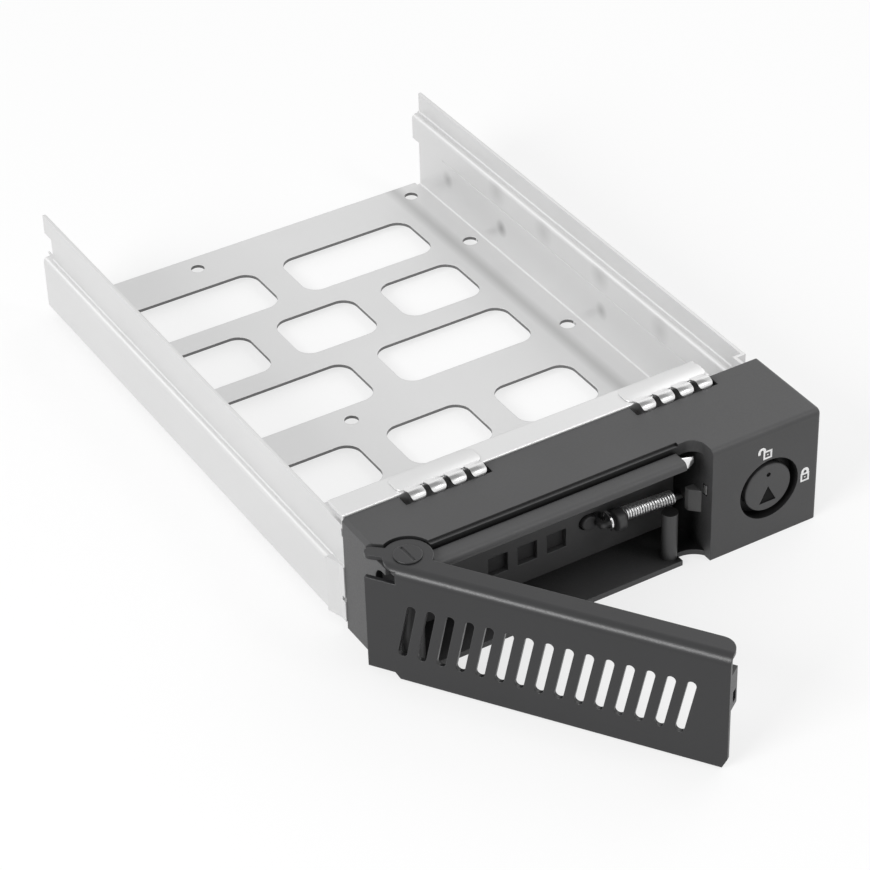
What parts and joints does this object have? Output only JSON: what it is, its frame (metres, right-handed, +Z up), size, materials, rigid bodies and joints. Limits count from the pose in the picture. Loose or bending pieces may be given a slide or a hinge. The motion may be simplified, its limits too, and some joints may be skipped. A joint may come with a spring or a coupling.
{
  "type": "hard drive tray",
  "caption": "Hot-swap tray for a 3.5-inch drive: folded sheet pan with windows, dark front bezel, slotted swing lever and a lock dial.",
  "frame": {"origin": "centre of the four 3.5-inch drive holes, on the underside of the tray floor", "axes": "+X along the front from the lever's pivot side to the lock side, +Y to the rear, +Z up"},
  "size_m": [0.1098, 0.2254, 0.031],
  "materials": {
    "sheet": "satin zinc-plated sheet",
    "moulding": "fine matt charcoal",
    "lever_paint": "matt charcoal paint",
    "fixings": "plain steel",
    "spring_metal": "bright"
  },
  "bodies": {
    "frame": {"tray_pan": "sheet", "bezel": "moulding", "bezel_screws": "fixings", "clip_left": "spring_metal", "clip_right": "spring_metal", "lever_rivet": "lever_paint", "back_plate": "lever_paint", "guide_nose": "fixings", "anchor_stud": "moulding", "anchor_bushing": "moulding", "anchor_ring": "spring_metal", "tension_spring": "spring_metal", "spring_peg": "fixings"},
    "swing": {"lever": "lever_paint"},
    "dial": {"lock_dial": "moulding", "dial_crank": "fixings"},
    "latch": {"latch_slide": "fixings"}
  },
  "joints": [
    {"name": "lever_hinge", "type": "hinge", "parent": "frame", "child": "swing", "pos_m": [-0.0466, -0.10709, 0.027], "axis": [0, 0, 1], "range_deg": [0, 55.5]},
    {"name": "dial_turn", "type": "hinge", "parent": "frame", "child": "dial", "pos_m": [0.0406, -0.1122, 0.0115], "axis": [0, 1, 0], "range_deg": [0, 90]},
    {"name": "latch_travel", "type": "slide", "parent": "frame", "child": "latch", "axis": [-1, 0, 0], "range_m": [0, 0.0018]}
  ],
  "couplings": [
    {"joint": "latch_travel", "follows": "dial_turn", "m_per_rad": 0.0011459}
  ]
}
